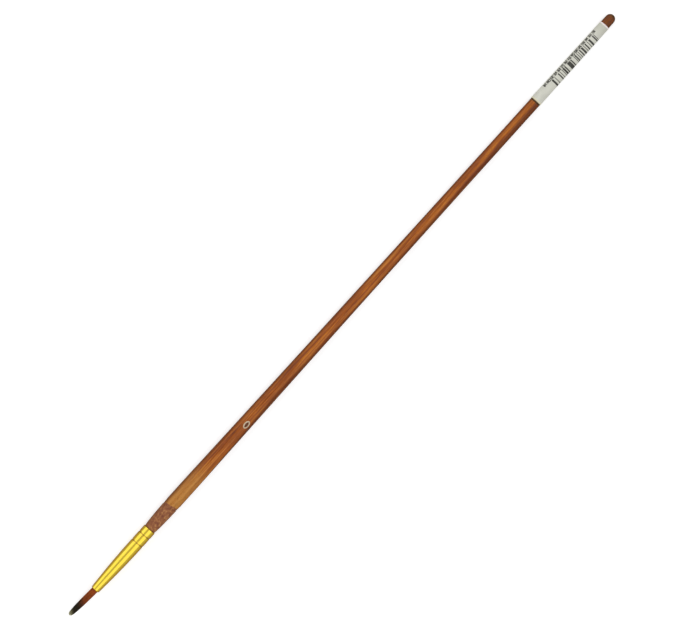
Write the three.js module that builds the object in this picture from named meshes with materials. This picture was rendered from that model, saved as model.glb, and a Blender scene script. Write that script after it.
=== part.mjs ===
// Fine detail brush: a long turned handle, a tapered metal ferrule and a short round tuft of hair.
//
// The brush lies on its side. X runs along it from the hair to the tail, Z is up, and it rests on the
// plane z = 0. The origin is half way along it, straight under its axis. A station is a distance in
// millimetres from the tip of the hair towards the tail; every length and radius is in millimetres.
// Radii are measured to the middle of a flat, because each turned piece has flats round it.

import * as THREE from 'three';
import { mergeVertices } from 'three/addons/utils/BufferGeometryUtils.js';

// The whole brush
const LENGTH = 300.5;
const SIDES = 20;
const FIT = 0.02;

// Hair: the tuft bends about an upright line through FLEX_STATION, just outside the ferrule
const HAIR_RADIUS = 1.32;
const HAIR_POINT_LENGTH = 12;
const HAIR_BLUNTNESS = 0.26;
const FLEX_STATION = 13.1;
const ROOT_START = 14.65;
const ROOT_END = 28.5;
const ROOT_FLARE = 0.2;

// Thread wound round the root
const THREAD_RADIUS = 0.11;
const THREAD_PITCH = 0.27;
const THREAD_TURNS = 5;
const THREAD_START = 20.4;
const WAIST_DEPTH = 0.12;
const WAIST_MARGIN = 0.5;

// Ferrule: a cone that runs into a straight sleeve with two crimped rings
const MOUTH = 13.8;
const MOUTH_RADIUS = 1.7;
const SLEEVE_START = 35.5;
const SLEEVE_RADIUS = 2.52;
const FERRULE_END = 43.9;
const WALL = 0.28;
const RIM_ROUND = 0.16;
const CRIMPS = [37.1, 41.0];
const CRIMP_DEPTH = 0.13;
const CRIMP_HALF_WIDTH = 0.5;

// Glue: a plug behind the root, and a film round the tenon of the handle
const PLUG_START = 26.2;
const PLUG_END = 30.6;
const TENON_START = 31.2;
const GLUE_ROOM = 0.14;
const FILM_START = 33.0;
const FILM_END = 43.5;

// Handle: a cone from the ferrule to the belly, a short straight belly, a long curved taper, and a
// slighter cone from there to the rounded tail
const SHOULDER = 44.0;
const SHOULDER_RADIUS = 2.15;
const BELLY_START = 58.2;
const BELLY_END = 66;
const BELLY_RADIUS = 2.84;
const TAPER_END = 256;
const TAPER_END_RADIUS = 2.08;
const TAPER_POWER = 1.85;
const TAIL_RADIUS = 1.88;
const TAIL_ROUND_LENGTH = 2.1;

// Paper label, wound round the handle a little over one and a half times
const LABEL_START = 257.5;
const LABEL_LENGTH = 38.1;
const LABEL_THICKNESS = 0.05;
const LABEL_FLATS = 31;
const LABEL_EDGE_FLAT = -1;

// Size numeral: the figure 0 in a thin film of ink
const NUMERAL_STATION = 96.8;
const NUMERAL_ANGLE = THREE.MathUtils.degToRad(107);
const NUMERAL_LENGTH = 3.3;
const NUMERAL_WIDTH = 2.1;
const NUMERAL_STROKE = 0.52;
const NUMERAL_SLANT = 0.04;
const INK_THICKNESS = 0.05;

const FLAT_ANGLE = (2 * Math.PI) / SIDES;
const CORNER = 1 / Math.cos(FLAT_ANGLE / 2);

const along = new THREE.Vector3(1, 0, 0);
const across = new THREE.Vector3(0, 1, 0);
const up = new THREE.Vector3(0, 0, 1);
const LATHE_TO_BRUSH = new THREE.Matrix4().makeBasis(up, along, across);
const EXTRUSION_TO_BRUSH = new THREE.Matrix4().makeBasis(across, up, along);

const finishes = {
  wood: { color: 0x96572b, roughness: 0.3, metalness: 0 },
  gold: { color: 0xe8c440, roughness: 0.25, metalness: 1 },
  hair: { color: 0x6e3a1c, roughness: 0.6, metalness: 0 },
  thread: { color: 0xd8d0bc, roughness: 0.9, metalness: 0 },
  glue: { color: 0xb98f4a, roughness: 0.4, metalness: 0 },
  paper: { color: 0xd5d5cd, roughness: 0.8, metalness: 0 },
  ink: { color: 0xe4cdb4, roughness: 0.6, metalness: 0 },
};

// Helpers

function spread(from, to, count) {
  return Array.from({ length: count + 1 }, (_, i) => from + ((to - from) * i) / count);
}

// A quarter of an ellipse, as [depth, rise] pairs from a blunt end to level with the side.
function quarterRound(length, radius, steps) {
  return spread(0, Math.PI / 2, steps).map((angle) => [
    length * (1 - Math.cos(angle)),
    radius * Math.sin(angle),
  ]);
}

// Turns a line of [station, radius] pairs about the axis of the brush.
function turned(line) {
  const points = line.map(([station, radius]) => new THREE.Vector2(radius * CORNER, station));
  const geometry = new THREE.LatheGeometry(points, SIDES, FLAT_ANGLE / 2);
  return geometry.applyMatrix4(LATHE_TO_BRUSH);
}

function turnedSleeve(outside, inside) {
  return turned([...outside, ...inside.reverse(), outside[0]]);
}

// The outline that a radius function gives over a list of stations.
function outline(stations, radiusAt) {
  return stations.map((station) => [station, radiusAt(station)]);
}

function piece(name, geometry, finish) {
  geometry.deleteAttribute('normal');
  geometry.deleteAttribute('uv');
  const closed = mergeVertices(geometry, 1e-4);
  closed.computeVertexNormals();
  const mesh = new THREE.Mesh(closed, new THREE.MeshStandardMaterial(finishes[finish]));
  mesh.name = name;
  return mesh;
}

// Shapes that neighbouring pieces share

function crimpDepth(station) {
  const distance = Math.min(...CRIMPS.map((crimp) => Math.abs(station - crimp)));
  if (distance >= CRIMP_HALF_WIDTH) {
    return 0;
  }
  return (CRIMP_DEPTH / 2) * (1 + Math.cos((Math.PI * distance) / CRIMP_HALF_WIDTH));
}

function ferruleRadius(station) {
  const share = Math.min((station - MOUTH) / (SLEEVE_START - MOUTH), 1);
  return THREE.MathUtils.lerp(MOUTH_RADIUS, SLEEVE_RADIUS, share) - crimpDepth(station);
}

function boreRadius(station) {
  return ferruleRadius(station) - WALL;
}

function tenonRadius(station) {
  return boreRadius(station) - GLUE_ROOM;
}

function handleRadius(station) {
  if (station <= BELLY_START) {
    const share = (station - SHOULDER) / (BELLY_START - SHOULDER);
    return THREE.MathUtils.lerp(SHOULDER_RADIUS, BELLY_RADIUS, share);
  }
  if (station >= TAPER_END) {
    const share = (station - TAPER_END) / (LENGTH - TAPER_END);
    return THREE.MathUtils.lerp(TAPER_END_RADIUS, TAIL_RADIUS, share);
  }
  const share = Math.max((station - BELLY_END) / (TAPER_END - BELLY_END), 0);
  return TAPER_END_RADIUS + (BELLY_RADIUS - TAPER_END_RADIUS) * (1 - share) ** TAPER_POWER;
}

function hairRadius(station) {
  const share = Math.min(station / HAIR_POINT_LENGTH, 1);
  return HAIR_RADIUS * (1 - (1 - share) ** 2) ** HAIR_BLUNTNESS;
}

function waistRadius(station) {
  const end = THREAD_START + THREAD_PITCH * THREAD_TURNS;
  const outside = Math.max(THREAD_START - station, station - end, 0);
  return HAIR_RADIUS - WAIST_DEPTH * Math.max(1 - outside / WAIST_MARGIN, 0);
}

function crimpStations() {
  const half = CRIMP_HALF_WIDTH;
  return CRIMPS.flatMap((crimp) => spread(crimp - half, crimp + half, 6));
}

// Sub-parts

function makeHandle() {
  const tenon = [TENON_START, ...crimpStations(), SHOULDER];
  const tailStart = LENGTH - TAIL_ROUND_LENGTH;
  const taper = spread(BELLY_END, TAPER_END, 14);
  const tail = quarterRound(TAIL_ROUND_LENGTH, handleRadius(tailStart), 6).reverse();
  return turned([
    [TENON_START, 0],
    ...outline(tenon, tenonRadius),
    ...outline([SHOULDER, BELLY_START, ...taper], handleRadius),
    ...tail.map(([depth, radius]) => [LENGTH - depth, radius]),
  ]);
}

function makeFerrule() {
  const sides = [SLEEVE_START, ...crimpStations(), FERRULE_END];
  const rim = quarterRound(RIM_ROUND, RIM_ROUND, 3).map(([depth, rise]) => [
    MOUTH + depth,
    ferruleRadius(MOUTH + depth) - RIM_ROUND + rise,
  ]);
  const outside = [...rim, ...outline(sides, ferruleRadius)];
  return turnedSleeve(outside, outline([MOUTH, ...sides], boreRadius));
}

function makeTuft() {
  const point = spread(0, 1, 9).map((share) => HAIR_POINT_LENGTH * share ** 2);
  const base = quarterRound(HAIR_RADIUS, HAIR_RADIUS, 5).reverse();
  return turned([
    ...outline(point, hairRadius),
    ...base.map(([depth, radius]) => [FLEX_STATION + HAIR_RADIUS - depth, radius]),
  ]);
}

function makeRoot() {
  const end = THREAD_START + THREAD_PITCH * THREAD_TURNS;
  const waist = [THREAD_START - WAIST_MARGIN, THREAD_START, end, end + WAIST_MARGIN];
  return turned([
    [ROOT_START, 0],
    [ROOT_START, HAIR_RADIUS],
    ...outline(waist, waistRadius),
    [ROOT_END, HAIR_RADIUS + ROOT_FLARE],
    [ROOT_END, 0],
  ]);
}

class Winding extends THREE.Curve {
  getPoint(share) {
    const angle = 2 * Math.PI * THREAD_TURNS * share;
    const radius = HAIR_RADIUS - WAIST_DEPTH + THREAD_RADIUS + 2 * FIT;
    const station = THREAD_START + THREAD_PITCH * THREAD_TURNS * share;
    return new THREE.Vector3(station, radius * Math.cos(angle), radius * Math.sin(angle));
  }
}

function makeThread() {
  const corners = spread(0, 2 * Math.PI, 8).slice(1);
  const section = new THREE.Shape(
    corners.map((a) => new THREE.Vector2(THREAD_RADIUS * Math.cos(a), THREAD_RADIUS * Math.sin(a))),
  );
  return new THREE.ExtrudeGeometry(section, {
    steps: 16 * THREAD_TURNS,
    extrudePath: new Winding(),
    bevelEnabled: false,
  });
}

// A plug of glue with a blind hole that the end of the root sits in.
function makePlug() {
  const hole = HAIR_RADIUS + ROOT_FLARE + FIT;
  return turned([
    [ROOT_END + FIT, 0],
    [ROOT_END + FIT, hole],
    [PLUG_START, hole],
    [PLUG_START, boreRadius(PLUG_START) - FIT],
    [PLUG_END, boreRadius(PLUG_END) - FIT],
    [PLUG_END, 0],
  ]);
}

function makeGlueFilm() {
  const stations = [FILM_START, SLEEVE_START, ...crimpStations(), FILM_END];
  const outside = outline(stations, (station) => boreRadius(station) - FIT);
  return turnedSleeve(outside, outline(stations, (station) => tenonRadius(station) + FIT));
}

// Narrows an upright sleeve to the slope of the handle under it.
function tapered(geometry, station, length) {
  const at = geometry.attributes.position;
  const drop = (handleRadius(station) - handleRadius(station + length)) * CORNER;
  for (let i = 0; i < at.count; i += 1) {
    const radius = Math.hypot(at.getX(i), at.getY(i));
    const scale = 1 - (drop * at.getZ(i)) / length / radius;
    at.setXY(i, at.getX(i) * scale, at.getY(i) * scale);
  }
  return geometry;
}

// The label's section is a spiral with one flat to each flat of the handle.
function makeLabel() {
  const layer = LABEL_THICKNESS + FIT;
  const inner = [];
  const outer = [];
  for (let flat = 0; flat <= LABEL_FLATS; flat += 1) {
    const angle = FLAT_ANGLE * (LABEL_EDGE_FLAT + LABEL_FLATS - flat + 0.5);
    const radius = handleRadius(LABEL_START) + FIT + (layer * flat) / SIDES;
    const corner = new THREE.Vector2(Math.cos(angle), Math.sin(angle));
    inner.push(corner.clone().multiplyScalar(radius * CORNER));
    outer.push(corner.clone().multiplyScalar((radius + LABEL_THICKNESS) * CORNER));
  }
  const section = new THREE.Shape([...inner, ...outer.reverse()]);
  const geometry = new THREE.ExtrudeGeometry(section, { depth: LABEL_LENGTH, bevelEnabled: false });
  tapered(geometry, LABEL_START, LABEL_LENGTH).translate(0, 0, LABEL_START);
  return geometry.applyMatrix4(EXTRUSION_TO_BRUSH);
}

// Bends a flat figure, drawn with x along the brush, round the handle.
function bendRound(geometry, station, angle, radius) {
  const at = geometry.attributes.position;
  for (let i = 0; i < at.count; i += 1) {
    const turn = angle - at.getY(i) / radius;
    const reach = radius + at.getZ(i);
    at.setXYZ(i, station + at.getX(i), reach * Math.cos(turn), reach * Math.sin(turn));
  }
  return geometry;
}

function makeNumeral() {
  const ring = (inset) => {
    const length = NUMERAL_LENGTH / 2 - inset;
    const width = NUMERAL_WIDTH / 2 - inset;
    return spread(0, 2 * Math.PI, 32)
      .slice(1)
      .map((a) => new THREE.Vector2(length * Math.cos(a), width * Math.sin(a)))
      .map((p) => p.set(p.x, p.y + NUMERAL_SLANT * p.x));
  };
  const figure = new THREE.Shape(ring(0));
  figure.holes.push(new THREE.Path(ring(NUMERAL_STROKE)));
  const geometry = new THREE.ExtrudeGeometry(figure, { depth: INK_THICKNESS, bevelEnabled: false });
  const radius = handleRadius(NUMERAL_STATION - NUMERAL_LENGTH / 2) * CORNER + 2 * FIT;
  return bendRound(geometry, NUMERAL_STATION, NUMERAL_ANGLE, radius);
}

// The assembly

const brush = new THREE.Group();
brush.name = 'fine_detail_brush';
brush.add(
  piece('handle', makeHandle(), 'wood'),
  piece('ferrule', makeFerrule(), 'gold'),
  piece('hair_tuft', makeTuft(), 'hair'),
  piece('hair_root', makeRoot(), 'hair'),
  piece('binding_thread', makeThread(), 'thread'),
  piece('root_glue_plug', makePlug(), 'glue'),
  piece('tenon_glue', makeGlueFilm(), 'glue'),
  piece('label', makeLabel(), 'paper'),
  piece('size_numeral', makeNumeral(), 'ink'),
);
brush.position.set(-LENGTH / 2, 0, BELLY_RADIUS);

export default brush;
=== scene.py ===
import math
import random

import bpy
import numpy as np
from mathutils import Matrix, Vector


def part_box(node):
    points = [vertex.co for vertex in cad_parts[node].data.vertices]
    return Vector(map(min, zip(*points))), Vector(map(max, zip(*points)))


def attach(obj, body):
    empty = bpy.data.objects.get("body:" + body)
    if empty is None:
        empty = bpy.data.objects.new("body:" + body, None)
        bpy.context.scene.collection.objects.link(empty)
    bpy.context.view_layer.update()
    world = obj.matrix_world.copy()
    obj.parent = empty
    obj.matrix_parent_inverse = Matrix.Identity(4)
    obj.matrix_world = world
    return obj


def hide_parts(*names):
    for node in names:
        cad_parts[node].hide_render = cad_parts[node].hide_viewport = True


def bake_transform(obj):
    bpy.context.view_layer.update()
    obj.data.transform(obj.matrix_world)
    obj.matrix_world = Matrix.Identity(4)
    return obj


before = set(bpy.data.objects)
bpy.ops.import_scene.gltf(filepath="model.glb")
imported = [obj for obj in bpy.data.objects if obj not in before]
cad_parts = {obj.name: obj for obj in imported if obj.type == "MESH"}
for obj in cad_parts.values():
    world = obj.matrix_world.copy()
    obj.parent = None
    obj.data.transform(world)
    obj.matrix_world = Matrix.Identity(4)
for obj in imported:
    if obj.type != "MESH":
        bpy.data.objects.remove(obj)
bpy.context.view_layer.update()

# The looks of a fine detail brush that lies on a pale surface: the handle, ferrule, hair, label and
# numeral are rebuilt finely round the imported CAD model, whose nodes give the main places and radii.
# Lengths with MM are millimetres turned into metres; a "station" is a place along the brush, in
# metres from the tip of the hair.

MM = 0.001
random.seed(7)

# Handle
HANDLE_SIDES = 96
HANDLE_STEP = 1.0 * MM
DIP_STATION = 55.9 * MM
DIP_SLANT = 0.5 * MM
DIP_EDGE = 0.16 * MM
DIP_ROW = 0.04 * MM
DIP_ZONE = 6 * DIP_EDGE
DIP_FADE = 6 * MM
# The wavy dip line, as (waves round the handle, height to the slant, phase)
DIP_WAVES = ((3, 0.12, 1.0), (7, 0.07, 0.0))
VARNISH = 0.03 * MM
VARNISH_LIP = 0.025 * MM
VARNISH_LIP_LENGTH = 1.2 * MM
PALE_LENGTH = 14 * MM
# The pale stretch past the dip line fades out between these places, about its own end
PALE_FADE = (-4 * MM, 9 * MM)
CAP_FADE = 1 * MM
# Painted shadow in a thin dark line along the wood just before the label's edge
LABEL_SHADOW_LENGTH = 0.7 * MM
LABEL_SHADOW_EDGE = 0.12 * MM
# The wood grows darker over this last stretch of the tail
TAIL_DARKENING = 1.8 * MM
# Where the painted shade on the -Y flank of the wood begins, in degrees round from +Y, at four stations
SHADED_FLANK_STATIONS = (70 * MM, 110 * MM, 165 * MM, 250 * MM)
SHADED_FLANK_ANGLES = (140, 88, 110, 68)
# The painted shade comes on over this angle; the +Y flank gets painted shade too, from its own edge
SHADED_FLANK_FADE = 55
PLUS_FLANK_SHADE_EDGE = 75
PLUS_FLANK_SHADE_FADE = 60
UNDERSIDE_FADE = 50

# Ferrule
FERRULE_SIDES = 96
FERRULE_STEP = 0.25 * MM
CRIMP_DEPTH = 0.13 * MM

# Hair
STRANDS = 520
STRAND_SIDES = 5
# Rows of points along a strand: in its root, in the bend and beyond it. The root has too few rows to
# follow the waist that the binding thread sits in.
ROOT_ROWS = 3
BEND_ROWS = 12
TIP_ROWS = 9
TIP_CROWDING = 1.4
STRAND_RADIUS = 0.042 * MM
STRAND_TIP_RADIUS = 0.012 * MM
STRAND_TAPER = 7 * MM
# A strand ends this far in from the tip of the tuft, in mm: a base, more at the rim, and at random
TIP_SETBACK = 0.2
TIP_ROUNDING = 0.55
TIP_SCATTER = 0.4
SWAY_LENGTH = 3 * MM
HAIR_POINT = 12.0 * MM
HAIR_BLUNTNESS = 0.26
HAIR_LEAN = 0.8 * MM
HAIR_FILL = 0.99
HAIR_SLANT = 0.5
HAIR_SWIRL = 0.25
# The bend rows of each strand lie between these places, from the mouth of the ferrule
HAIR_BEND = (1.1 * MM, -2.9 * MM)

# Label
LABEL_THICKNESS = 0.05 * MM
LABEL_GAP = 0.01 * MM
LABEL_TURNS = 1.55
LABEL_EDGE = -9
LABEL_STEPS = 200
LABEL_ROWS = 48
# Only the last turn, which lies on top, has print; elsewhere the place round is off the scale
TOP_TURN = 359
UNPRINTED = -99.0
# The print is laid out in mm from the start of the label and in degrees round from +Y
BAR_MODULE = 0.254
BARS = (9.2, 33.0)
BARS_ROUND = (69, 250)
BAR_GROUP = 1.5
MARKS = (5.6, 33.9)
MARKS_ROUND = (25, 65)
MARK_PITCH = 1.9
PRINT_EDGE = 0.02
PRINT_EDGE_ROUND = 0.4
DEGREE_LENGTH = 0.037

# Numeral
NUMERAL_STROKE = 0.52 * MM
NUMERAL_SHAPE = 0.64
NUMERAL_FILM = 0.018 * MM
NUMERAL_SLANT = 0.04
NUMERAL_POINTS = 96
# Across the stroke: (share of the stroke from its outer edge, height in films of ink)
NUMERAL_PROFILE = ((0.0, -1), (0.06, 0.6), (0.2, 1), (0.8, 1), (0.94, 0.6), (1.0, -1))

# Light: two long boxes over the brush, from and to an angle off straight up, and a dimmer room
ROOM_LIGHT = 0.5
BOX_LIGHT = 0.67
BOX_REACH = 0.6
BOX_LENGTH = 3.0
LEFT_BOX = (27, 75)
RIGHT_BOX = (-59, -6)
FLOOR_HALF = 3.0
FLOOR_GLOW = 0.6
FLOOR_SHADES = ((0.61, 0.61, 0.61), (0.63, 0.63, 0.63))
FLOOR_REFLECTED = (0.46, 0.39, 0.30)

# View
CAMERA_HEIGHT = 1200 * MM
VIEW_WIDTH = 252.0 * MM
VIEW_ROLL = math.radians(47.93)
VIEW_OFFSET = (-0.15 * MM, 0.8 * MM)


# Measures taken from the frame

def centre(node):
    low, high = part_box(node)
    return (low + high) / 2


AXIS_Z = centre("handle").z
TIP_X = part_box("hair_tuft")[0].x
MOUTH_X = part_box("ferrule")[0].x
TAIL_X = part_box("handle")[1].x
DIP_X = TIP_X + DIP_STATION


def rings(node):
    """The (x, radius) pairs of a turned CAD node, in order of x, with radii to the middle of a flat."""
    found = {}
    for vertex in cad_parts[node].data.vertices:
        x, y, z = vertex.co
        radius = math.hypot(y, z - AXIS_Z)
        key = (round(x, 6), round(radius, 6))
        found.setdefault(key, set()).add(round(math.atan2(z - AXIS_Z, y), 3))
    sides = max(len(angles) for angles in found.values())
    flat = math.cos(math.pi / sides)
    return [(x, radius * flat) for x, radius in sorted(found)]


HANDLE_OUTLINE = rings("handle")
VISIBLE_HANDLE = list(zip(*[p for p in HANDLE_OUTLINE if p[0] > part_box("ferrule")[1].x]))
ROOT_OUTLINE = list(zip(*[p for p in rings("hair_root") if p[1] > 0]))
HAIR_RADIUS = ROOT_OUTLINE[1][0]


def handle_radius_at(x):
    return float(np.interp(x, *VISIBLE_HANDLE))


# Curves and meshes

def spread(start, end, count):
    return [start + (end - start) * i / count for i in range(count + 1)]


def smooth_step(value):
    value = min(max(value, 0.0), 1.0)
    return value * value * (3 - 2 * value)


def slopes(places, values):
    """Slopes of a curve through the points that never overshoots them."""
    steps = [(b - a) / (q - p) for a, b, p, q in zip(values, values[1:], places, places[1:])]
    inner = [2 * a * b / (a + b) if a * b > 0 else 0.0 for a, b in zip(steps, steps[1:])]
    return [steps[0], *inner, steps[-1]]


def eased(points, step):
    """Points about one step apart on a smooth curve through the given (x, radius) points."""
    along = [0.0]
    for (x0, r0), (x1, r1) in zip(points, points[1:]):
        along.append(along[-1] + math.hypot(x1 - x0, r1 - r0))
    columns = list(zip(*points))
    tangents = [slopes(along, column) for column in columns]
    made = []
    for i, (start, end) in enumerate(zip(along, along[1:])):
        length = end - start
        count = max(2, math.ceil(length / step))
        for share in spread(0.0, 1.0, count)[: -1 if i < len(along) - 2 else None]:
            s2, s3 = share ** 2, share ** 3
            made.append(tuple(
                (2 * s3 - 3 * s2 + 1) * column[i] + (s3 - 2 * s2 + share) * length * slope[i]
                + (3 * s2 - 2 * s3) * column[i + 1] + (s3 - s2) * length * slope[i + 1]
                for column, slope in zip(columns, tangents)
            ))
    return made


def new_mesh(name, points, faces, material):
    mesh = bpy.data.meshes.new(name)
    mesh.from_pydata([tuple(p) for p in points], [], faces)
    mesh.validate()
    for polygon in mesh.polygons:
        polygon.use_smooth = True
    mesh.materials.append(material)
    piece = bpy.data.objects.new(name, mesh)
    bpy.context.scene.collection.objects.link(piece)
    return piece


def set_values(piece, name, values):
    """Stores one number for each vertex, for the material to read."""
    attribute = piece.data.attributes.new(name, "FLOAT", "POINT")
    attribute.data.foreach_set("value", np.array(values, np.float32))


def grid_faces(rows, columns, wrap_rows=False, wrap_columns=True):
    """Quads over a grid of rows by columns of vertices, joined up where it wraps."""
    faces = []
    for i in range(rows if wrap_rows else rows - 1):
        for j in range(columns if wrap_columns else columns - 1):
            below, beside = (i + 1) % rows, (j + 1) % columns
            faces.append((
                i * columns + j,
                i * columns + beside,
                below * columns + beside,
                below * columns + j,
            ))
    return faces


def turned(name, outline, sides, material, place=None, closed=False):
    """A body turned about the axis of the brush from (x, radius) pairs. Its outline joins up if closed,
    and otherwise starts and ends on the axis. place may move the point at x, radius and angle."""
    middle = outline if closed else outline[1:-1]
    points = []
    for x, radius in middle:
        for j in range(sides):
            angle = 2 * math.pi * j / sides
            at, reach = place(x, radius, angle) if place else (x, radius)
            points.append((at, reach * math.cos(angle), AXIS_Z + reach * math.sin(angle)))
    faces = grid_faces(len(middle), sides, wrap_rows=closed)
    if not closed:
        first, last = len(points), len(points) - sides
        points += [(outline[0][0], 0, AXIS_Z), (outline[-1][0], 0, AXIS_Z)]
        for j in range(sides):
            beside = (j + 1) % sides
            faces.append((first, beside, j))
            faces.append((first + 1, last + j, last + beside))
    return new_mesh(name, points, faces, material)


# Materials

class Tree:
    """One material's nodes. Values given to add() are set on the inputs, and sockets are linked."""

    def __init__(self, name):
        self.material = bpy.data.materials.new(name)
        self.material.use_nodes = True
        self.nodes = self.material.node_tree.nodes
        self.links = self.material.node_tree.links
        self.shader = self.nodes["Principled BSDF"]

    def add(self, kind, inputs=None, **settings):
        node = self.nodes.new("ShaderNode" + kind)
        for key, value in settings.items():
            setattr(node, key, value)
        self.feed(node, inputs or {})
        return node

    def feed(self, node, inputs):
        for key, value in inputs.items():
            if isinstance(value, bpy.types.NodeSocket):
                self.links.new(value, node.inputs[key])
            else:
                node.inputs[key].default_value = value

    def shade(self, **inputs):
        self.feed(self.shader, {key.replace("_", " "): value for key, value in inputs.items()})
        return self.material

    def place(self, scale=(1, 1, 1)):
        """The point on the object, in millimetres times the scale."""
        point = self.add("TexCoord").outputs["Object"]
        scale = tuple(s / MM for s in scale)
        return self.add("Mapping", {"Vector": point, "Scale": scale}).outputs[0]

    def axis(self, name):
        point = self.add("TexCoord").outputs["Object"]
        return self.add("SeparateXYZ", {0: point}).outputs[name]

    def noise(self, vector, scale=1.0, detail=2.0, roughness=0.5, distortion=0.0):
        return self.add("TexNoise", {
            "Vector": vector, "Scale": scale, "Detail": detail,
            "Roughness": roughness, "Distortion": distortion,
        }).outputs["Fac"]

    def value(self, name):
        return self.add("Attribute", attribute_name=name).outputs["Fac"]

    def math(self, operation, a, b=0.0, clamp=False):
        return self.add("Math", {0: a, 1: b}, operation=operation, use_clamp=clamp).outputs[0]

    def fit(self, value, low, high, to_low=0.0, to_high=1.0, kind="SMOOTHSTEP"):
        return self.add("MapRange", {
            "Value": value, "From Min": low, "From Max": high, "To Min": to_low, "To Max": to_high,
        }, interpolation_type=kind).outputs["Result"]

    def band(self, value, low, high, soft):
        """1 between low and high, and 0 outside, over an edge that is soft on both sides."""
        rise = self.fit(value, low - soft, low + soft)
        fall = self.fit(value, high + soft, high - soft)
        return self.math("MULTIPLY", rise, fall)

    def chance(self, value, step):
        """A number from 0 to 1 for each whole step of the value."""
        index = self.math("FLOOR", self.math("DIVIDE", value, step))
        return self.add("TexWhiteNoise", {"W": index}, noise_dimensions="1D").outputs["Value"]

    def ramp(self, value, *stops):
        node = self.add("ValToRGB", {"Fac": value})
        elements = node.color_ramp.elements
        while len(elements) < len(stops):
            elements.new(1.0)
        for element, (position, colour) in zip(elements, stops):
            element.position = position
            element.color = (*colour, 1.0)
        return node.outputs["Color"]

    def mix(self, share, a, b, blend="MIX"):
        """Two colours mixed; the node keeps them on its inputs 6 and 7."""
        node = self.add("Mix", data_type="RGBA", blend_type=blend)
        a, b = (c if isinstance(c, bpy.types.NodeSocket) else (*c, 1.0) for c in (a, b))
        self.feed(node, {0: share, 6: a, 7: b})
        return node.outputs[2]

    def mix_values(self, share, a, b):
        return self.add("Mix", {0: share, 2: a, 3: b}).outputs[0]

    def bump(self, height, distance):
        return self.add("Bump", {
            "Height": height, "Distance": distance, "Strength": 1.0,
        }).outputs["Normal"]


def srgb(red, green, blue):
    """A colour from its usual 0 to 255 numbers."""
    def linear(value):
        value /= 255
        return value / 12.92 if value <= 0.04045 else ((value + 0.055) / 1.055) ** 2.4
    return tuple(linear(v) for v in (red, green, blue))


def stained_and_shaded_wood(t, along, streaks, fibres):
    """Stain over long grain, with a paler stretch next to the dip line and painted shade down the
    flanks.
    """
    patches = t.noise(t.place((0.04, 0.4, 0.4)), 1.0, 3.0, 0.55, 0.4)
    tone = t.math("ADD", t.math("MULTIPLY", patches, 0.3), t.math("MULTIPLY", streaks, 0.7))
    stain_and_shade = t.ramp(
        tone,
        (0.34, srgb(118, 54, 18)),
        (0.45, srgb(152, 78, 26)),
        (0.53, srgb(180, 101, 31)),
        (0.63, srgb(206, 126, 44)),
    )
    pale_end = DIP_X + PALE_LENGTH
    pale = t.fit(along, pale_end + PALE_FADE[1], pale_end + PALE_FADE[0])
    tan = t.ramp(tone, (0.36, srgb(172, 106, 44)), (0.62, srgb(206, 144, 66)))
    stain_and_shade = t.mix(pale, stain_and_shade, tan)
    # The side value is painted shade down the flanks, made uneven by the streaks
    uneven = t.math("MULTIPLY", t.math("SUBTRACT", streaks, 0.5), 0.8)
    side = t.math("ADD", t.value("side"), uneven)
    stain_and_shade = t.mix(t.fit(side, 0.1, 1.0, 0.0, 0.78), stain_and_shade, srgb(86, 36, 15))
    return t.mix(t.fit(fibres, 0.4, 0.7, 0.0, 0.22), stain_and_shade, srgb(104, 54, 30))


def darkened_ends(t, along, colour):
    """Darker wood past the label, painted shadow in a line just before it, and darker at the very tail.
    """
    label_start, label_end = (corner.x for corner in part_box("label"))
    cap = t.fit(along, label_end - CAP_FADE, label_end, 0.0, 0.6)
    colour = t.mix(cap, colour, srgb(88, 50, 26))
    # Painted shadow in a line along the wood just before the label's edge
    label_shadow = t.band(along, label_start - LABEL_SHADOW_LENGTH, label_start, LABEL_SHADOW_EDGE)
    colour = t.mix(t.math("MULTIPLY", label_shadow, 0.95), colour, srgb(66, 46, 14))
    tail = t.fit(along, TAIL_X - TAIL_DARKENING, TAIL_X, 0.0, 0.9)
    return t.mix(tail, colour, srgb(54, 48, 24))


def inside_numeral(t, along):
    """How much the wood is darkened inside the ring of the numeral, which is on the upper side."""
    low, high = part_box("size_numeral")
    middle, half = (low + high) / 2, (high - low) / 2
    beside = t.math("DIVIDE", t.math("SUBTRACT", along, middle.x), half.x)
    across = t.math("DIVIDE", t.math("SUBTRACT", t.axis("Y"), middle.y), half.y)
    squares = t.math("ADD", t.math("POWER", beside, 2.0), t.math("POWER", across, 2.0))
    on_top = t.math("GREATER_THAN", t.axis("Z"), AXIS_Z)
    return t.math("MULTIPLY", t.fit(t.math("SQRT", squares), 1.0, 0.6, 0.0, 0.85), on_top)


def mottled(t, colour):
    """Reddish and dark brown flecks over a colour."""
    mottle = t.noise(t.place((0.45, 2.2, 2.2)), 1.0, 3.0, 0.7)
    colour = t.mix(t.fit(mottle, 0.5, 0.75, 0.0, 0.3), colour, srgb(190, 92, 30))
    return t.mix(t.fit(mottle, 0.5, 0.25, 0.0, 0.35), colour, srgb(120, 64, 26))


def bare_wood(t, blotches):
    """The blotchy band that the varnish does not reach, with painted shade down its flanks."""
    bare = t.ramp(
        blotches,
        (0.34, srgb(126, 72, 50)),
        (0.48, srgb(150, 94, 60)),
        (0.56, srgb(160, 104, 66)),
        (0.68, srgb(190, 134, 84)),
    )
    # Painted shade down the flanks of the bare band too, from the side value
    return t.mix(t.fit(t.value("side"), 0.2, 1.0, 0.0, 0.35), bare, srgb(96, 58, 36))


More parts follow.
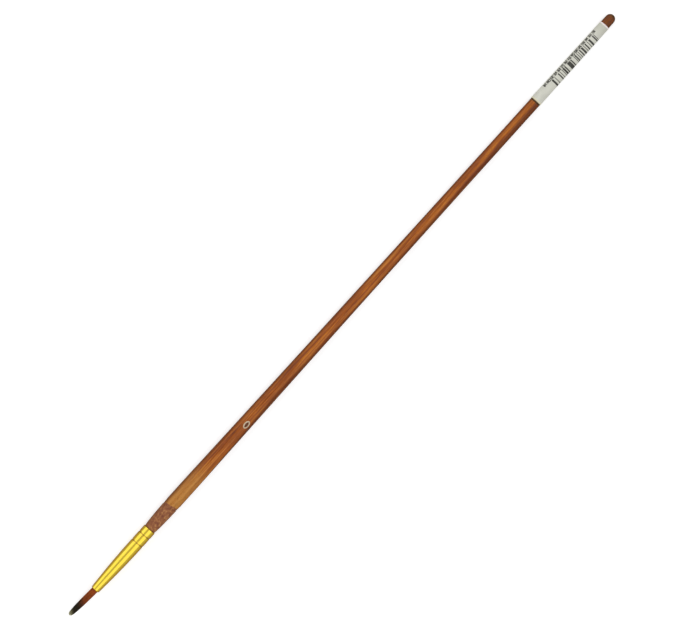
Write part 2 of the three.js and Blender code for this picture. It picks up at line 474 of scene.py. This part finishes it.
def wood_material():
    """Stained wood with long grain, glossy where it was dipped in varnish and matt where it was not."""
    t = Tree("varnished_wood")
    varnish = t.value("varnish")
    along = t.axis("X")
    streaks = t.noise(t.place((0.06, 1.4, 1.4)), 1.0, 4.0, 0.6, 0.2)
    fibres = t.noise(t.place((0.25, 9.0, 9.0)), 1.0, 3.0, 0.6)
    pores = t.fit(t.noise(t.place((0.5, 14.0, 14.0)), 1.0, 1.0, 0.4), 0.60, 0.70)
    blotches = t.noise(t.place((0.9, 1.1, 1.1)), 1.0, 3.0, 0.6)

    stain_and_shade = darkened_ends(t, along, stained_and_shaded_wood(t, along, streaks, fibres))
    stain_and_shade = t.mix(inside_numeral(t, along), stain_and_shade, srgb(84, 50, 34))
    colour = t.mix(varnish, bare_wood(t, blotches), mottled(t, stain_and_shade))
    colour = t.mix(t.math("MULTIPLY", pores, 0.4), colour, srgb(70, 36, 22))

    gloss = t.fit(streaks, 0.3, 0.7, 0.2, 0.28)
    dull = t.fit(blotches, 0.3, 0.7, 0.6, 0.8)
    grain = t.math("SUBTRACT", fibres, pores)
    return t.shade(
        Base_Color=colour, Roughness=t.mix_values(varnish, dull, gloss), Specular_IOR_Level=0.2,
        Normal=t.bump(grain, 0.005 * MM),
    )


def gold_material():
    """Bright gold-coloured metal with faint drawing marks along it, with painted shade in the crimped
    rings.
    """
    t = Tree("gold_metal")
    marks = t.noise(t.place((0.08, 10.0, 10.0)), 1.0, 3.0, 0.6)
    cloud = t.noise(t.place((0.3, 0.6, 0.6)), 1.0, 2.0, 0.5)
    colour = t.mix(t.fit(cloud, 0.3, 0.7), srgb(255, 224, 64), srgb(254, 218, 56))
    # Painted shade in the crimped rings, darker where the crimp is deeper
    crimp = t.value("crimp")
    colour = t.mix(t.fit(crimp, 0.35, 1.0, 0.0, 0.8), colour, srgb(168, 120, 24))
    scratches = t.fit(t.noise(t.place((0.6, 22.0, 22.0)), 1.0, 1.0), 0.62, 0.72, 0.0, 0.08)
    roughness = t.math("ADD", t.fit(marks, 0.3, 0.7, 0.17, 0.25), scratches)
    return t.shade(
        Base_Color=colour, Metallic=1.0, Roughness=roughness,
        Specular_Tint=(*srgb(196, 138, 26), 1.0), Coat_Weight=0.85, Coat_Roughness=0.12,
        Normal=t.bump(marks, 0.002 * MM),
    )


def hair_material():
    """Hair in three colours along its length; each strand changes at its own place."""
    t = Tree("hair")
    shift = t.math("MULTIPLY", t.math("SUBTRACT", t.value("strand"), 0.5), 1.6)
    share = t.fit(t.math("ADD", t.value("dye"), shift), 0.0, 14.0, kind="LINEAR")
    colour = t.ramp(
        share,
        (0.03, srgb(212, 210, 176)),
        (0.08, srgb(156, 150, 110)),
        (0.15, srgb(44, 38, 18)),
        (0.36, srgb(48, 36, 15)),
        (0.47, srgb(92, 48, 18)),
        (0.60, srgb(150, 72, 24)),
        (0.95, srgb(180, 88, 30)),
    )
    tint = t.fit(t.value("strand"), 0.0, 1.0, 0.75, 1.25, kind="LINEAR")
    grey = t.add("CombineColor", {0: tint, 1: tint, 2: tint}).outputs[0]
    colour = t.mix(1.0, colour, grey, "MULTIPLY")
    return t.shade(Base_Color=colour, Roughness=0.42, Specular_IOR_Level=0.25)


def plain_paper(t, along, fibre):
    """Off-white paper, greyer towards the tail, with a painted highlight as a paler line at each end.
    """
    low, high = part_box("label")
    length = (high.x - low.x) / MM
    cloud = t.noise(t.place((0.2, 0.3, 0.3)), 1.0, 2.0)
    paper = t.mix(t.fit(cloud, 0.35, 0.65), srgb(220, 220, 208), srgb(213, 213, 202))
    paper = t.mix(t.fit(fibre, 0.45, 0.7, 0.0, 0.3), paper, srgb(190, 188, 172))
    paper = t.mix(t.fit(along, length - 6.0, length - 1.0, 0.0, 0.5), paper, srgb(190, 190, 174))
    # Painted highlight: a paler line along each end of the label
    paper = t.mix(t.fit(along, 0.8, 0.2), paper, srgb(232, 226, 192))
    return t.mix(t.fit(along, length - 0.7, length - 0.4), paper, srgb(252, 240, 238))


def printed_bars(t, along, around):
    """Bars of one or two modules at random places, some of them run together; they are no real code."""
    density = t.fit(t.chance(along, BAR_GROUP), 0.0, 1.0, 0.45, 0.7, kind="LINEAR")
    wide = t.math("GREATER_THAN", t.chance(along, 2 * BAR_MODULE), density)
    narrow = t.math("GREATER_THAN", t.chance(along, BAR_MODULE), 0.74)
    bars = t.math("MAXIMUM", wide, narrow)
    bars = t.math("MULTIPLY", bars, t.band(along, *BARS, PRINT_EDGE))
    return t.math("MULTIPLY", bars, t.band(around, *BARS_ROUND, PRINT_EDGE_ROUND))


def printed_marks(t, along, around):
    """A row of marks cut out of noise, with a gap between each two; they spell nothing."""
    flat = t.add("CombineXYZ", {0: along, 1: t.math("MULTIPLY", around, DEGREE_LENGTH)}).outputs[0]
    marks = t.math("GREATER_THAN", t.noise(flat, 2.4, 1.0, 0.6), 0.44)
    gap = t.fit(t.chance(along, MARK_PITCH), 0.0, 1.0, 0.04, 0.3, kind="LINEAR")
    place = t.math("PINGPONG", along, MARK_PITCH / 2)
    marks = t.math("MULTIPLY", marks, t.math("GREATER_THAN", place, gap))
    marks = t.math("MULTIPLY", marks, t.band(around, *MARKS_ROUND, PRINT_EDGE_ROUND))
    return t.math("MULTIPLY", marks, t.band(along, *MARKS, PRINT_EDGE))


def paper_material():
    """Off-white label paper printed with bars and small marks that spell nothing."""
    t = Tree("label_paper")
    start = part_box("label")[0].x
    along = t.math("DIVIDE", t.math("SUBTRACT", t.axis("X"), start), MM)
    around = t.value("around")
    fibre = t.noise(t.place((5, 5, 5)), 1.0, 3.0, 0.6)

    marked = t.math("MAXIMUM", printed_bars(t, along, around), printed_marks(t, along, around))
    ink = t.math("MULTIPLY", marked, t.fit(fibre, 0.3, 0.7, 1.0, 0.88))
    colour = t.mix(ink, plain_paper(t, along, fibre), srgb(38, 38, 34))
    return t.shade(
        Base_Color=colour, Roughness=t.fit(ink, 0.0, 1.0, 0.7, 0.45), Specular_IOR_Level=0.2,
        Normal=t.bump(fibre, 0.004 * MM),
    )


def ink_material():
    """Cream ink, thin enough in places for the wood to tint it."""
    t = Tree("numeral_ink")
    speckle = t.noise(t.place((3, 3, 3)), 1.0, 2.0)
    colour = t.mix(t.fit(speckle, 0.4, 0.65, 0.0, 0.6), srgb(208, 190, 160), srgb(184, 152, 118))
    return t.shade(Base_Color=colour, Roughness=0.55, Normal=t.bump(speckle, 0.006 * MM))


def thread_material():
    """Twisted cotton thread."""
    t = Tree("thread")
    twist = t.noise(t.place((12, 6, 6)), 1.0, 2.0)
    colour = t.mix(twist, srgb(222, 214, 194), srgb(170, 158, 132))
    return t.shade(Base_Color=colour, Roughness=0.9, Normal=t.bump(twist, 0.02 * MM))


def glue_material():
    """Set amber glue, a little cloudy."""
    t = Tree("glue")
    cloud = t.noise(t.place((1.5, 1.5, 1.5)), 1.0, 3.0)
    colour = t.mix(cloud, srgb(190, 142, 74), srgb(134, 92, 44))
    return t.shade(Base_Color=colour, Roughness=t.fit(cloud, 0.3, 0.7, 0.2, 0.4))


# Pieces

def flank_shade(x, angle):
    """How much painted shade the wood gets at a place: 0 on top, up to 1 down both sides and 0 again
    underneath.
    """
    edge = float(np.interp(x - TIP_X, SHADED_FLANK_STATIONS, SHADED_FLANK_ANGLES))
    degrees = (math.degrees(angle) + 90) % 360 - 90
    minus_flank_shade = smooth_step((degrees - edge) / SHADED_FLANK_FADE)
    plus_flank_shade = smooth_step((PLUS_FLANK_SHADE_EDGE - degrees) / PLUS_FLANK_SHADE_FADE)
    from_underneath = min(degrees + 90, 270 - degrees)
    return max(minus_flank_shade, plus_flank_shade) * smooth_step(from_underneath / UNDERSIDE_FADE)


def make_handle():
    outline = eased(HANDLE_OUTLINE, HANDLE_STEP)
    start = next(i for i, (x, _) in enumerate(outline) if x > DIP_X - DIP_ZONE)
    end = next(i for i, (x, _) in enumerate(outline) if x > DIP_X + DIP_ZONE)
    fine = spread(DIP_X - DIP_ZONE, DIP_X + DIP_ZONE, round(2 * DIP_ZONE / DIP_ROW))
    outline[start:end] = [(x, handle_radius_at(x)) for x in fine]

    def place(x, radius, angle):
        past = x - DIP_X
        lip = VARNISH_LIP * math.exp(-max(past, 0.0) / VARNISH_LIP_LENGTH)
        coat = smooth_step(past / DIP_EDGE + 0.5) * (VARNISH + lip)
        wave = sum(height * math.sin(count * angle + phase) for count, height, phase in DIP_WAVES)
        shift = DIP_SLANT * (-math.cos(angle) + wave) * math.exp(-(past / DIP_FADE) ** 2)
        return x + shift, radius + coat

    piece = turned("turned_handle", outline, HANDLE_SIDES, wood_material(), place)
    # side holds the painted shade down the flanks of the handle, for the wood material
    varnish, side = [], []
    for x, _ in outline[1:-1]:
        for j in range(HANDLE_SIDES):
            varnish.append(smooth_step((x - DIP_X) / DIP_EDGE + 0.5))
            side.append(flank_shade(x, 2 * math.pi * j / HANDLE_SIDES))
    set_values(piece, "varnish", [*varnish, 0.0, 1.0])
    set_values(piece, "side", [*side, 0.5, 0.5])
    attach(piece, "brush_body")
    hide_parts("handle")


def make_ferrule():
    by_x = {}
    for x, radius in rings("ferrule"):
        by_x.setdefault(x, []).append(radius)
    places = sorted(by_x)
    outside = eased([(x, max(by_x[x])) for x in places], FERRULE_STEP)
    inside = [(x, min(by_x[x])) for x in places if len(by_x[x]) > 1]
    outline = outside + inside[::-1]
    piece = turned("ferrule_shell", outline, FERRULE_SIDES, gold_material(), closed=True)
    sleeve = max(radius for _, radius in outside)
    straight = min(x for x, radius in outside if radius > sleeve - 0.001 * MM)
    # How deep each ring of the outline sits in a crimp, which sets the painted shade there
    crimp = [(sleeve - radius) / CRIMP_DEPTH if x > straight else 0.0 for x, radius in outline]
    crimp[len(outside):] = [0.0] * len(inside)
    set_values(piece, "crimp", np.repeat(crimp, FERRULE_SIDES))
    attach(piece, "brush_body")
    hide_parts("ferrule")


def hair_envelope(station):
    """Radius of the bundle of hair at a station, in the ferrule and out of it."""
    if TIP_X + station > ROOT_OUTLINE[0][0]:
        return float(np.interp(TIP_X + station, *ROOT_OUTLINE))
    share = min(max(station / HAIR_POINT, 0.0), 1.0)
    return HAIR_RADIUS * (1 - (1 - share) ** 2) ** HAIR_BLUNTNESS


def hair_point(station, radius, angle):
    lean = HAIR_LEAN * max(1 - station / (MOUTH_X - TIP_X), 0.0)
    return Vector((
        TIP_X + station,
        radius * math.cos(angle) + lean,
        AXIS_Z + radius * math.sin(angle),
    ))


def add_strand(path, radii, points, faces):
    """Adds one closed tapered strand along the path."""
    first = len(points)
    for i, (at, radius) in enumerate(zip(path, radii)):
        ahead = path[min(i + 1, len(path) - 1)] - path[max(i - 1, 0)]
        side = ahead.cross(Vector((0, 0, 1))).normalized()
        rise = side.cross(ahead).normalized()
        for j in range(STRAND_SIDES):
            angle = 2 * math.pi * j / STRAND_SIDES
            points.append(at + radius * (math.cos(angle) * side + math.sin(angle) * rise))
    for face in grid_faces(len(path), STRAND_SIDES):
        faces.append(tuple(first + k for k in face))
    last = first + (len(path) - 1) * STRAND_SIDES
    faces.append(tuple(first + j for j in range(STRAND_SIDES))[::-1])
    faces.append(tuple(last + j for j in range(STRAND_SIDES)))


def strand_stations(tip, root, bend_start, bend_end):
    """Places of the rows of one strand, from the end of its root out to its tip."""
    return [
        *spread(root, bend_start, ROOT_ROWS)[:-1],
        *spread(bend_start, bend_end, BEND_ROWS)[:-1],
        *(tip + (bend_end - tip) * share ** TIP_CROWDING for share in spread(1.0, 0.0, TIP_ROWS)),
    ]


def make_hair():
    points, faces, shades, dye = [], [], [], []
    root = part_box("hair_root")[1].x - TIP_X
    bend_start, bend_end = (MOUTH_X - TIP_X + bend for bend in HAIR_BEND)
    for i in range(STRANDS):
        reach = math.sqrt((i + 0.5) / STRANDS)
        angle = i * math.pi * (3 - math.sqrt(5)) + random.uniform(-0.1, 0.1)
        tip = (TIP_SETBACK + TIP_ROUNDING * reach ** 2 + random.uniform(0, TIP_SCATTER)) * MM
        sway, phase = random.uniform(0.01, 0.05) * MM, random.uniform(0, 2 * math.pi)
        shade = random.random()
        path, radii = [], []
        for station in strand_stations(tip, root, bend_start, bend_end):
            free = max(1 - station / HAIR_POINT, 0.0)
            turn = angle + HAIR_SWIRL * free * math.sin(phase)
            at = hair_point(station, reach * hair_envelope(station) * HAIR_FILL, turn)
            at.y += sway * free * math.sin(phase + station / SWAY_LENGTH)
            at.z += sway * free * math.cos(phase + station / SWAY_LENGTH)
            path.append(at)
            dye += [(station - HAIR_SLANT * at.y) / MM] * STRAND_SIDES
            full = min((station - tip) / STRAND_TAPER, 1.0) ** 0.7
            radii.append(STRAND_TIP_RADIUS + (STRAND_RADIUS - STRAND_TIP_RADIUS) * full)
        before = len(points)
        add_strand(path, radii, points, faces)
        shades += [shade] * (len(points) - before)
    piece = new_mesh("hair_bundle", points, faces, hair_material())
    set_values(piece, "strand", shades)
    set_values(piece, "dye", dye)
    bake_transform(piece)
    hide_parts("hair_tuft", "hair_root")


def make_label():
    low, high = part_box("label")
    growth = LABEL_TURNS * (LABEL_THICKNESS + LABEL_GAP)
    section = []
    for outside in (False, True):
        layer = []
        for share in spread(0.0, 1.0, LABEL_STEPS):
            degrees = LABEL_EDGE + 360 * LABEL_TURNS * (1 - share)
            lift = LABEL_GAP + growth * share + (LABEL_THICKNESS if outside else 0.0)
            printed = outside and degrees < LABEL_EDGE + TOP_TURN
            layer.append((math.radians(degrees), lift, degrees if printed else UNPRINTED))
        section += layer[::-1] if outside else layer
    points, around = [], []
    for x in spread(low.x, high.x, LABEL_ROWS):
        for angle, lift, degrees in section:
            radius = handle_radius_at(x) + VARNISH + lift
            points.append((x, radius * math.cos(angle), AXIS_Z + radius * math.sin(angle)))
            around.append(degrees)
    count = len(section)
    faces = grid_faces(LABEL_ROWS + 1, count)
    last = LABEL_ROWS * count
    for i in range(LABEL_STEPS):
        a, b, c, d = i, i + 1, count - 2 - i, count - 1 - i
        faces.append((d, c, b, a))
        faces.append(tuple(last + k for k in (a, b, c, d)))
    piece = new_mesh("label_sheet", points, faces, paper_material())
    set_values(piece, "around", around)
    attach(piece, "brush_body")
    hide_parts("label")


def make_numeral():
    low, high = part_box("size_numeral")
    middle = (low + high) / 2
    facing = math.atan2(middle.z - AXIS_Z, middle.y)
    radius = handle_radius_at(middle.x) + VARNISH
    half_length = (high.x - low.x) / 2
    points = []
    for turn in spread(0.0, 2 * math.pi, NUMERAL_POINTS)[:-1]:
        for inset, lift in NUMERAL_PROFILE:
            u = (half_length - inset * NUMERAL_STROKE) * math.cos(turn)
            v = (NUMERAL_SHAPE * half_length - inset * NUMERAL_STROKE) * math.sin(turn)
            v += NUMERAL_SLANT * u
            angle = facing - v / radius
            reach = radius + lift * NUMERAL_FILM
            points.append((
                middle.x + u, reach * math.cos(angle), AXIS_Z + reach * math.sin(angle),
            ))
    faces = grid_faces(NUMERAL_POINTS, len(NUMERAL_PROFILE), wrap_rows=True)
    piece = new_mesh("numeral_ink", points, faces, ink_material())
    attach(piece, "brush_body")
    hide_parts("size_numeral")


def dress_hidden_nodes():
    """The pieces inside the ferrule keep their CAD shape and get a full material."""
    glue = glue_material()
    for node, material in (
        ("binding_thread", thread_material()),
        ("root_glue_plug", glue),
        ("tenon_glue", glue),
    ):
        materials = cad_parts[node].data.materials
        materials.clear()
        materials.append(material)


# Stage

def make_floor():
    """A pale floor that touches the brush under its belly and under the end of its label."""
    corners = [(x * FLOOR_HALF, y * FLOOR_HALF, 0) for x, y in ((-1, -1), (1, -1), (1, 1), (-1, 1))]
    t = Tree("floor")
    grain = t.noise(t.add("TexCoord").outputs["Object"], 40.0, 2.0)
    colour = t.mix(t.fit(grain, 0.3, 0.7), *FLOOR_SHADES)
    path = t.add("LightPath").outputs
    colour = t.mix(path["Is Glossy Ray"], colour, FLOOR_REFLECTED)
    glow = t.math("MULTIPLY", path["Is Camera Ray"], FLOOR_GLOW)
    material = t.shade(
        Base_Color=colour, Roughness=0.9, Specular_IOR_Level=0.1,
        Emission_Color=(1.0, 1.0, 1.0, 1.0), Emission_Strength=glow,
    )
    floor = new_mesh("floor", corners, [(0, 1, 2, 3)], material)
    label_low, label_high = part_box("label")
    belly_x = next(x for x, radius in HANDLE_OUTLINE if radius > AXIS_Z - 0.001 * MM)
    floor.location = (belly_x, 0, 0)
    floor.rotation_euler = (0, -math.atan2(label_low.z, label_high.x - belly_x), 0)


def make_box_light(name, start, end):
    """A long light over the brush between two angles off straight up; +Y is the positive side."""
    start, end = math.radians(start), math.radians(end)
    middle, half = (start + end) / 2, abs(end - start) / 2
    width, reach = 2 * BOX_REACH * math.sin(half), BOX_REACH * math.cos(half)
    data = bpy.data.lights.new(name, "AREA")
    data.shape = "RECTANGLE"
    data.size, data.size_y = BOX_LENGTH, width
    data.energy = BOX_LIGHT * math.pi * BOX_LENGTH * width
    light = bpy.data.objects.new(name, data)
    bpy.context.scene.collection.objects.link(light)
    light.location = (0, reach * math.sin(middle), AXIS_Z + reach * math.cos(middle))
    light.rotation_euler = (-middle, 0, 0)


def make_room():
    """Even dim light from all round, which the camera sees as white."""
    world = bpy.data.worlds.new("studio")
    world.use_nodes = True
    nodes, links = world.node_tree.nodes, world.node_tree.links
    path, strength = nodes.new("ShaderNodeLightPath"), nodes.new("ShaderNodeMapRange")
    links.new(path.outputs["Is Camera Ray"], strength.inputs["Value"])
    strength.inputs["To Min"].default_value = ROOM_LIGHT
    strength.inputs["To Max"].default_value = 1.0
    links.new(strength.outputs["Result"], nodes["Background"].inputs["Strength"])
    nodes["Background"].inputs["Color"].default_value = (1.0, 1.0, 1.0, 1.0)
    bpy.context.scene.world = world
    bpy.context.scene.view_settings.view_transform = "Standard"


def make_camera():
    data = bpy.data.cameras.new("camera")
    data.lens = data.sensor_width * CAMERA_HEIGHT / VIEW_WIDTH
    data.clip_start = 0.01
    camera = bpy.data.objects.new("camera", data)
    bpy.context.scene.collection.objects.link(camera)
    camera.location = (*VIEW_OFFSET, AXIS_Z + CAMERA_HEIGHT)
    camera.rotation_euler = (0, 0, -VIEW_ROLL)
    bpy.context.scene.camera = camera


make_camera()
make_handle()
make_ferrule()
make_hair()
make_label()
make_numeral()
dress_hidden_nodes()
make_floor()
make_box_light("left_box", *LEFT_BOX)
make_box_light("right_box", *RIGHT_BOX)
make_room()
